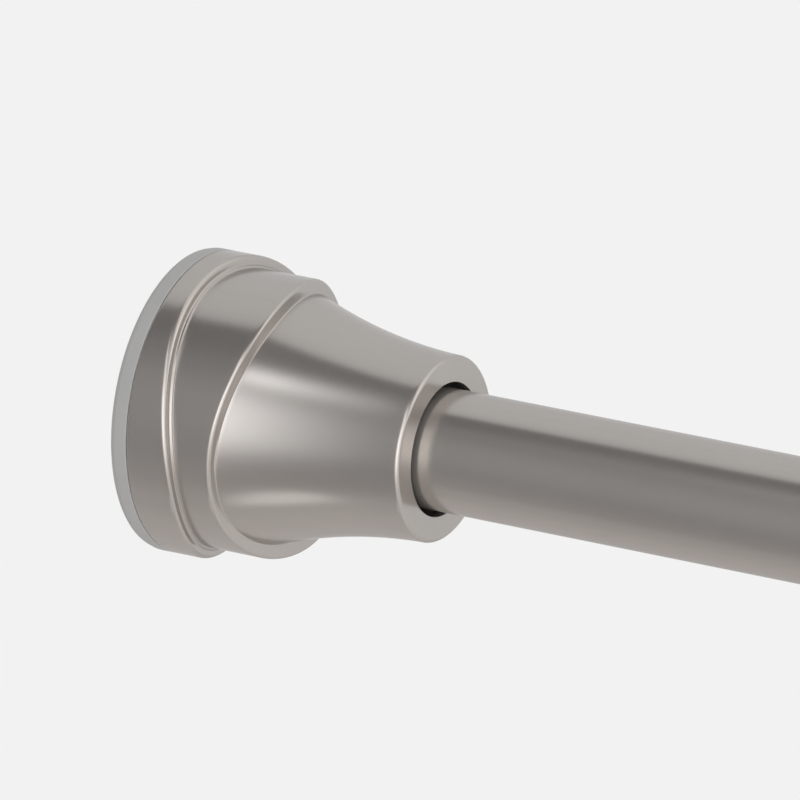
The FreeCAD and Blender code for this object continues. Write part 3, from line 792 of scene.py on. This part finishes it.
def pressure_spring(name, sizes):
    """A coil of flat wire between the carrier and the seat, with a closed turn at each end."""
    low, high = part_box("pressure_spring")
    across, deep, rounding = sizes.wire_width / 2, sizes.wire_depth / 2, 0.35 * MM
    corners = [(-across, -deep), (across, -deep), (across, deep), (-across, deep)]
    wire = rounded_outline([corner + (rounding,) for corner in corners], steps=2)
    count, steps = sizes.coils + 2, 48
    turns = np.linspace(0, count, steps * count + 1)
    # the pitch opens smoothly after the end turns, which lie almost against their neighbours
    closed_pitch = 1.04 * sizes.wire_width
    opening = np.clip((np.minimum(turns, count - turns) - 0.9) / 0.4, 0, 1)
    opened = np.cumsum(opening * opening * (3 - 2 * opening))
    left_over = high.x - low.x - sizes.wire_width - closed_pitch * count
    stations = low.x + across + closed_pitch * turns + left_over * opened / opened[-1]
    sections = []
    for turn, station in zip(turns, stations):
        azimuth = (0.25 - turn) * TURN
        sections.append([
            polar(station + along, high.z - deep + outward, azimuth) for along, outward in wire
        ])
    return placed(name, lofted(name, sections))


def pin_cuts(sizes):
    """The slot in which the drive pin slides and the seat's rivet hole, through both walls of the tube."""
    half, reach = sizes.pin_hole + 0.05 * MM, 20 * MM
    pin = middle_of("drive_pin")
    pressed = pin + press_travel()
    slot = circle(pin, 0.0, half, 90, 270, 16) + [(pin, -half)]
    slot += circle(pressed, 0.0, half, -90, 90, 16) + [(pressed, half)]
    rivet = circle(middle_of("seat_rivet"), 0.0, sizes.pin_hole, steps=32)
    return [prism("pin_cut", outline, -reach, reach, across=True) for outline in (slot, rivet)]


def middle_of(node):
    """The station of a node's middle."""
    low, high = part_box(node)
    return (low.x + high.x) / 2


def press_travel():
    """How far the inner tube gives inwards."""
    return next(-joint["range_m"][0] for joint in frame["joints"] if joint["name"] == "press")


# Shader nodes and materials


def node_group(name, inputs, outputs):
    """An empty shader group with named inputs (kind, default) and outputs, and its two ends."""
    group = bpy.data.node_groups.new(name, "ShaderNodeTree")
    for title, (kind, default) in inputs.items():
        socket = group.interface.new_socket(name=title, in_out="INPUT", socket_type="NodeSocket" + kind)
        if default is not None:
            socket.default_value = default
    for title, kind in outputs.items():
        group.interface.new_socket(name=title, in_out="OUTPUT", socket_type="NodeSocket" + kind)
    start = group.nodes.new("NodeGroupInput")
    end = group.nodes.new("NodeGroupOutput")
    return group, start, end


def add(tree, kind, inputs=None, **settings):
    """Adds a shader node, with its settings and what goes into its inputs."""
    node = tree.nodes.new("ShaderNode" + kind)
    for title, value in settings.items():
        setattr(node, title, value)
    for place, value in (inputs or {}).items():
        feed(tree, node.inputs[place], value)
    return node


def feed(tree, socket, value):
    """Sets a socket, or links it where the value is another socket."""
    if isinstance(value, bpy.types.NodeSocket):
        tree.links.new(value, socket)
    else:
        socket.default_value = value


def shown(tree, shader):
    """Makes a shader the material's surface."""
    tree.links.new(shader.outputs[0], tree.nodes["Material Output"].inputs["Surface"])


def maths(tree, operation, *values):
    """One step of arithmetic on sockets and numbers."""
    return add(tree, "Math", dict(enumerate(values)), operation=operation).outputs[0]


def product(tree, total, *factors):
    """The product of sockets and numbers."""
    for factor in factors:
        total = maths(tree, "MULTIPLY", total, factor)
    return total


def vector_maths(tree, operation, *values):
    return add(tree, "VectorMath", dict(enumerate(values)), operation=operation).outputs[0]


def scaled(tree, vector, factor):
    return add(tree, "VectorMath", {0: vector, "Scale": factor}, operation="SCALE").outputs[0]


def parted(tree, vector):
    """The three parts of a vector."""
    return add(tree, "SeparateXYZ", {0: vector}).outputs


def noise(tree, vector, scale, detail, roughness=0.5):
    inputs = {"Vector": vector, "Scale": scale, "Detail": detail, "Roughness": roughness}
    return add(tree, "TexNoise", inputs).outputs[0]


def blended(tree, factor, first, second):
    """Mixes two colours."""
    return add(tree, "Mix", {0: factor, 6: first, 7: second}, data_type="RGBA").outputs[2]


def spread(tree, value, low, high):
    """Stretches a value from 0..1 to low..high."""
    return add(tree, "MapRange", {"Value": value, "To Min": low, "To Max": high}).outputs[0]


def brushed_grain():
    """Fine lines along the rod or round it: Grain is the lines, Cloud the slow change of the plate.

    Along and Around say how many lie in a metre along the rod and in a radian round it. On a flat face the
    lines along the rod's length go round the face, as a lathe leaves them.
    """
    tree, start, end = node_group(
        "brushed_grain",
        {"Position": ("Vector", None), "Along": ("Float", 60.0), "Around": ("Float", 240.0)},
        {"Grain": "Float", "Cloud": "Float"},
    )
    x, y, z = parted(tree, start.outputs["Position"])
    section = add(tree, "CombineXYZ", {1: y, 2: z}).outputs[0]
    radius = add(tree, "VectorMath", {0: section}, operation="LENGTH").outputs["Value"]
    station = product(tree, maths(tree, "SUBTRACT", x, radius), start.outputs["Along"])
    lengthwise = add(tree, "CombineXYZ", {0: station}).outputs[0]
    around = scaled(tree, vector_maths(tree, "NORMALIZE", section), start.outputs["Around"])
    lines = vector_maths(tree, "ADD", around, lengthwise)
    tree.links.new(noise(tree, lines, 1.0, 3.0, 0.6), end.inputs["Grain"])
    tree.links.new(noise(tree, start.outputs["Position"], 45.0, 3.0), end.inputs["Cloud"])
    return tree


def moulded_skin():
    """A moulded piece's skin: Pebble is its fine texture, Flow the slow marks of the material's flow."""
    tree, start, end = node_group(
        "moulded_skin",
        {"Position": ("Vector", None), "Scale": ("Float", 1500.0)},
        {"Pebble": "Float", "Flow": "Float"},
    )
    position, scale = start.outputs["Position"], start.outputs["Scale"]
    cells = add(tree, "TexVoronoi", {"Vector": position, "Scale": scale})
    fine = noise(tree, position, scale, 2.0)
    tree.links.new(product(tree, cells.outputs["Distance"], fine), end.inputs["Pebble"])
    tree.links.new(noise(tree, position, 70.0, 4.0, 0.55), end.inputs["Flow"])
    return tree


def settled_dust():
    """Dust on faces that look up: Dust is how much of it lies there."""
    tree, start, end = node_group(
        "settled_dust",
        {"Position": ("Vector", None), "Amount": ("Float", 0.1)},
        {"Dust": "Float"},
    )
    normal = parted(tree, add(tree, "NewGeometry").outputs["Normal"])
    upward = maths(tree, "MAXIMUM", normal[2], 0.0)
    patchy = noise(tree, start.outputs["Position"], 220.0, 4.0, 0.6)
    tree.links.new(product(tree, upward, patchy, start.outputs["Amount"]), end.inputs["Dust"])
    return tree


def placed_group(tree, group, **values):
    """Puts a group into a material, fed with the object's own coordinates."""
    position = add(tree, "TexCoord").outputs["Object"]
    return add(tree, "Group", {"Position": position, **values}, node_tree=group)


def bumped(tree, height, depth, amount):
    """A fine relief that changes the normal only."""
    return add(tree, "Bump", {"Strength": amount, "Distance": depth, "Height": height}).outputs[0]


def material(name):
    """A new material, its nodes and its shader."""
    made = bpy.data.materials.new(name)
    made.use_nodes = True
    tree = made.node_tree
    return made, tree, tree.nodes["Principled BSDF"]


def surfaced(tree, shader, tone, roughness, normal):
    """Gives a shader its colour, roughness and normal."""
    for title, socket in (("Base Color", tone), ("Roughness", roughness), ("Normal", normal)):
        tree.links.new(socket, shader.inputs[title])


def shade(value, factor):
    """A colour made lighter or darker, with its alpha."""
    return tuple(min(1.0, part * factor) for part in value) + (1.0,)


class Finishes:
    """The rod's materials, by the names of the record's material slots, and the covers' dull inside."""

    def __init__(self, finish):
        self.finish = finish
        self.grain = brushed_grain()
        self.skin = moulded_skin()
        self.dust = settled_dust()
        self.by_slot = {
            "tube_nickel": self.nickel("tube_nickel_satin", around=170.0, along=22.0),
            "cover_nickel": self.nickel("cover_nickel_satin", around=5.0, along=9000.0),
            "cover_inside": self.nickel(
                "cover_inside_dull", around=5.0, along=9000.0, duller=2.4, metal=0.3
            ),
            "pad_rubber": self.moulded("pad_rubber_grey", finish.rubber, 0.55, scale=2600.0, dust=0.10),
            "foot_plastic": self.moulded("foot_plastic_black", finish.foot, 0.42, scale=3200.0, dust=0.16),
            "bush_nylon": self.moulded("bush_nylon_natural", finish.nylon, 0.38, scale=2400.0, dust=0.08),
            "lock_plastic": self.filled_plastic("lock_plastic_filled", finish.lock),
            "nut_brass": self.machined("nut_brass_turned", finish.brass, 0.24),
            "zinc_steel": self.plated("zinc_steel_bright", finish.zinc),
            "spring_steel": self.machined("spring_steel_oiled", finish.spring, 0.30),
        }

    def nickel(self, name, around, along, duller=1.0, metal=0.75):
        """Satin plate. Part of it scatters like a plain surface, as fine blasting leaves it."""
        made, tree, shader = material(name)
        lines = placed_group(tree, self.grain, Around=around, Along=along)
        shader.inputs["Metallic"].default_value = metal
        shader.inputs["Specular Tint"].default_value = (0.75, 0.75, 0.75, 1.0)
        plate, satin = self.finish.nickel, self.finish.satin * duller
        surfaced(
            tree, shader,
            blended(tree, lines.outputs["Cloud"], shade(plate, 0.975), shade(plate, 1.025)),
            spread(tree, lines.outputs["Grain"], satin * 0.85, satin * 1.15),
            bumped(tree, lines.outputs["Grain"], 0.002 * MM, 0.6),
        )
        return made

    def moulded(self, name, base, roughness, scale, dust):
        """Rubber or plastic from a mould, with a little dust on what looks up."""
        made, tree, shader = material(name)
        skin = placed_group(tree, self.skin, Scale=scale)
        dusty = placed_group(tree, self.dust, Amount=dust)
        tone = blended(tree, skin.outputs["Flow"], shade(base, 0.94), shade(base, 1.06))
        surfaced(
            tree, shader,
            blended(tree, dusty.outputs["Dust"], tone, (0.62, 0.61, 0.59, 1.0)),
            spread(tree, skin.outputs["Flow"], roughness - 0.06, roughness + 0.08),
            bumped(tree, skin.outputs["Pebble"], 0.02 * MM, 0.35),
        )
        return made

    def filled_plastic(self, name, base):
        """Plastic with short glass fibres that show as pale flecks."""
        made, tree, shader = material(name)
        skin = placed_group(tree, self.skin, Scale=1900.0)
        fibres = placed_group(tree, self.grain, Around=420.0, Along=900.0)
        fleck = maths(tree, "GREATER_THAN", fibres.outputs["Grain"], 0.63)
        tone = blended(tree, skin.outputs["Flow"], shade(base, 0.85), shade(base, 1.2))
        surfaced(
            tree, shader,
            blended(tree, product(tree, fleck, 0.22), tone, (0.30, 0.30, 0.30, 1.0)),
            spread(tree, skin.outputs["Flow"], 0.38, 0.58),
            bumped(tree, skin.outputs["Pebble"], 0.03 * MM, 0.4),
        )
        return made

    def machined(self, name, base, roughness):
        """Metal with fine lines round the axis, as a cutter or a die leaves it."""
        made, tree, shader = material(name)
        lines = placed_group(tree, self.grain, Around=6.0, Along=5200.0)
        shader.inputs["Metallic"].default_value = 1.0
        surfaced(
            tree, shader,
            blended(tree, lines.outputs["Cloud"], shade(base, 0.88), shade(base, 1.1)),
            spread(tree, lines.outputs["Grain"], roughness - 0.08, roughness + 0.12),
            bumped(tree, lines.outputs["Grain"], 0.006 * MM, 0.5),
        )
        return made

    def plated(self, name, base):
        """Zinc plate, with the faint blue and straw patches of its passivation."""
        made, tree, shader = material(name)
        lines = placed_group(tree, self.grain, Around=90.0, Along=900.0)
        skin = placed_group(tree, self.skin, Scale=900.0)
        shader.inputs["Metallic"].default_value = 1.0
        cool = (base[0] * 0.93, base[1] * 0.98, base[2] * 1.08, 1.0)
        warm = (base[0] * 1.06, base[1], base[2] * 0.88, 1.0)
        surfaced(
            tree, shader,
            blended(tree, lines.outputs["Cloud"], cool, warm),
            spread(tree, skin.outputs["Flow"], 0.22, 0.42),
            bumped(tree, lines.outputs["Grain"], 0.004 * MM, 0.4),
        )
        return made


FINISHES = {}


def finish_of(slot):
    """The material of a slot. All of them are made when the first is asked for."""
    if not FINISHES:
        FINISHES.update(Finishes(bpy.context.scene.rod_finish).by_slot)
    return FINISHES[slot]


def dressed(piece, slot, body, *nodes):
    """Gives a piece its finish, its body and the CAD nodes that it stands for."""
    piece.data.materials.clear()
    piece.data.materials.append(finish_of(slot))
    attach(piece, body)
    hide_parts(*nodes)


# Operators, one for each group of pieces


class ROD_OT_covers(bpy.types.Operator):
    """Build the two flared end covers"""

    bl_idname = "rod.covers"
    bl_label = "End Covers"

    def execute(self, context):
        for side, _ in ENDS:
            shell, inside = cover_shell("cover_shell_" + side, context.scene.rod_cover)
            at_end(shell, side)
            dressed(shell, "cover_nickel", "cover_" + side, "cover_" + side)
            shell.data.materials.append(finish_of("cover_inside"))
            for face in shell.data.polygons:
                face.material_index = int(face.index >= inside)
        return {"FINISHED"}


class ROD_OT_tubes(bpy.types.Operator):
    """Build the outer tube and the inner tube"""

    bl_idname = "rod.tubes"
    bl_label = "Tubes"

    def execute(self, context):
        sizes = context.scene.rod_tubes
        for node, body, segments in (("outer_tube", "outer", 224), ("inner_tube", "inner", 192)):
            low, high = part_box(node)
            inside = high.y - sizes.wall
            tube = turned(node + "_drawn", [
                (low.x, inside, sizes.deburr),
                (low.x, high.y, sizes.deburr),
                (high.x, high.y, sizes.deburr),
                (high.x, inside, sizes.deburr),
            ], segments, steps=3)
            if node == "inner_tube":
                with_booleans(tube, pin_cuts(context.scene.rod_fittings), "DIFFERENCE")
            dressed(tube, "tube_nickel", body, node)
        return {"FINISHED"}


class ROD_OT_pads(bpy.types.Operator):
    """Build the two rubber wall pads"""

    bl_idname = "rod.pads"
    bl_label = "Wall Pads"

    def execute(self, context):
        for side, body in ENDS:
            pad = wall_pad("wall_pad_moulded_" + side, context.scene.rod_tubes)
            at_end(pad, side)
            dressed(pad, "pad_rubber", body, "wall_pad_" + side)
        return {"FINISHED"}


class ROD_OT_mouth(bpy.types.Operator):
    """Build the collar in the outer tube's mouth"""

    bl_idname = "rod.mouth"
    bl_label = "Mouth Bush"

    def execute(self, context):
        sizes = context.scene.rod_tubes
        low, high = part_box("mouth_bush")
        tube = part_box("outer_tube")[1]
        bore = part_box("inner_tube")[1].y + 0.08 * MM
        sleeve = tube.y - sizes.wall - 0.05 * MM
        bush = turned("mouth_bush_moulded", [
            (low.x, bore, 0.2 * MM),
            (low.x, sleeve, 0.2 * MM),
            (tube.x, sleeve, 0.0),
            (tube.x, high.y, sizes.bush_round / 2),
            (high.x - 0.5 * MM, high.y, sizes.bush_round),
            (high.x, tube.y, 0.2 * MM),
            (high.x, bore, 0.2 * MM),
        ], segments=192, steps=4)
        dressed(bush, "bush_nylon", "outer", "mouth_bush")
        return {"FINISHED"}


class ROD_OT_feet(bpy.types.Operator):
    """Build the feet behind the covers, their screws and the sleeve in the right foot"""

    bl_idname = "rod.feet"
    bl_label = "Feet"

    def execute(self, context):
        for make, slot in ((foot_plate, "foot_plastic"), (foot_screw, "zinc_steel")):
            for side, body in ENDS:
                piece = make(make.__name__ + "_made_" + side, context.scene.rod_fittings)
                at_end(piece, side)
                dressed(piece, slot, body, make.__name__ + "_" + side)
        low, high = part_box("reducer_sleeve")
        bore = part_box("inner_tube")[1].y + 0.05 * MM
        sleeve = turned("reducer_sleeve_moulded", [
            (low.x, bore, 0.3 * MM),
            (low.x, high.y, 0.3 * MM),
            (high.x, high.y, 0.2 * MM),
            (high.x, bore, 0.2 * MM),
        ], segments=160, steps=4)
        dressed(sleeve, "foot_plastic", "inner", "reducer_sleeve")
        return {"FINISHED"}


class ROD_OT_lock(bpy.types.Operator):
    """Build the lock's threaded stud and its end nut"""

    bl_idname = "rod.lock"
    bl_label = "Lock Stud"

    def execute(self, context):
        for make in (lock_stud, end_nut):
            piece = make(make.__name__ + "_cut", context.scene.rod_fittings)
            dressed(piece, "zinc_steel", "screw", make.__name__)
        return {"FINISHED"}


class ROD_OT_spring(bpy.types.Operator):
    """Build the pressure spring, which rides on the inner tube"""

    bl_idname = "rod.spring"
    bl_label = "Pressure Spring"

    def execute(self, context):
        spring = pressure_spring("pressure_spring_coiled", context.scene.rod_fittings)
        dressed(spring, "spring_steel", "inner", "pressure_spring")
        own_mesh(spring)
        return {"FINISHED"}


class ROD_OT_fittings(bpy.types.Operator):
    """Finish the rest of the twist lock, the pressure unit and the plugs"""

    bl_idname = "rod.fittings"
    bl_label = "Other Fittings"

    def execute(self, context):
        slots = {row["node"]: row["material_slot"] for row in frame["record"]["subparts"]}
        for name, node in frame["nodes"].items():
            for place in node.material_slots:
                place.material = finish_of(slots[name])
        return {"FINISHED"}


class ROD_OT_studio(bpy.types.Operator):
    """Set up the floor, the lights and the camera"""

    bl_idname = "rod.studio"
    bl_label = "Studio"

    def execute(self, context):
        settings = context.scene.rod_studio
        studio_world(settings)
        studio_floor(settings)
        studio_card(settings)
        round_lamp(
            "small_light", azimuth=-60, sideways=-5.5, distance=0.95 * settings.card_radius, radius=0.26,
            brightness=settings.small_light,
        )
        photo_camera()
        return {"FINISHED"}


def photo_camera():
    """The photograph's view: a long lens, from the front and above, towards the left end."""
    lens = bpy.data.cameras.new("photo_camera")
    lens.sensor_width = 36.0
    lens.lens = 589.7
    lens.clip_start = 0.05
    lens.clip_end = 100.0
    right = Vector((0.8648, 0.5021, 0.0)).normalized()
    back = Vector((0.47218, -0.81323, 0.34017)).normalized()
    up = back.cross(right).normalized()
    right = up.cross(back)
    camera = placed("photo_camera", lens)
    turn = Matrix((right, up, back)).transposed().to_4x4()
    camera.matrix_world = Matrix.Translation((1.3166, -2.1812, 0.9212)) @ turn
    bpy.context.scene.camera = camera


class ROD_PT_panel(bpy.types.Panel):
    """Lists the rod's pieces and sizes"""

    bl_idname = "ROD_PT_panel"
    bl_label = "Curtain Rod"
    bl_space_type = "VIEW_3D"
    bl_region_type = "UI"
    bl_category = "Curtain Rod"

    def draw(self, context):
        column = self.layout.column()
        for operator in OPERATORS:
            column.operator(operator.bl_idname)
        for name in SETTINGS:
            settings = getattr(context.scene, name)
            box = self.layout.box()
            for title in settings.bl_rna.properties.keys():
                if title not in ("rna_type", "name"):
                    box.prop(settings, title)


SETTINGS = {
    "rod_cover": RodCoverSizes,
    "rod_tubes": RodTubeSizes,
    "rod_fittings": RodFittingSizes,
    "rod_finish": RodFinish,
    "rod_studio": RodStudio,
}
OPERATORS = (
    ROD_OT_studio, ROD_OT_covers, ROD_OT_tubes, ROD_OT_pads, ROD_OT_mouth, ROD_OT_feet, ROD_OT_lock,
    ROD_OT_spring, ROD_OT_fittings,
)
CLASSES = tuple(SETTINGS.values()) + OPERATORS + (ROD_PT_panel,)


def register():
    for kind in CLASSES:
        bpy.utils.register_class(kind)
    for name, kind in SETTINGS.items():
        setattr(bpy.types.Scene, name, PointerProperty(type=kind))


def unregister():
    for name in SETTINGS:
        delattr(bpy.types.Scene, name)
    for kind in reversed(CLASSES):
        bpy.utils.unregister_class(kind)


def main():
    """Builds the rod through the add-on's operators."""
    register()
    view = bpy.context.scene.view_settings
    view.view_transform = "Standard"
    for operator in OPERATORS:
        group, name = operator.bl_idname.split(".")
        getattr(getattr(bpy.ops, group), name)()


if __name__ == "__main__":
    main()
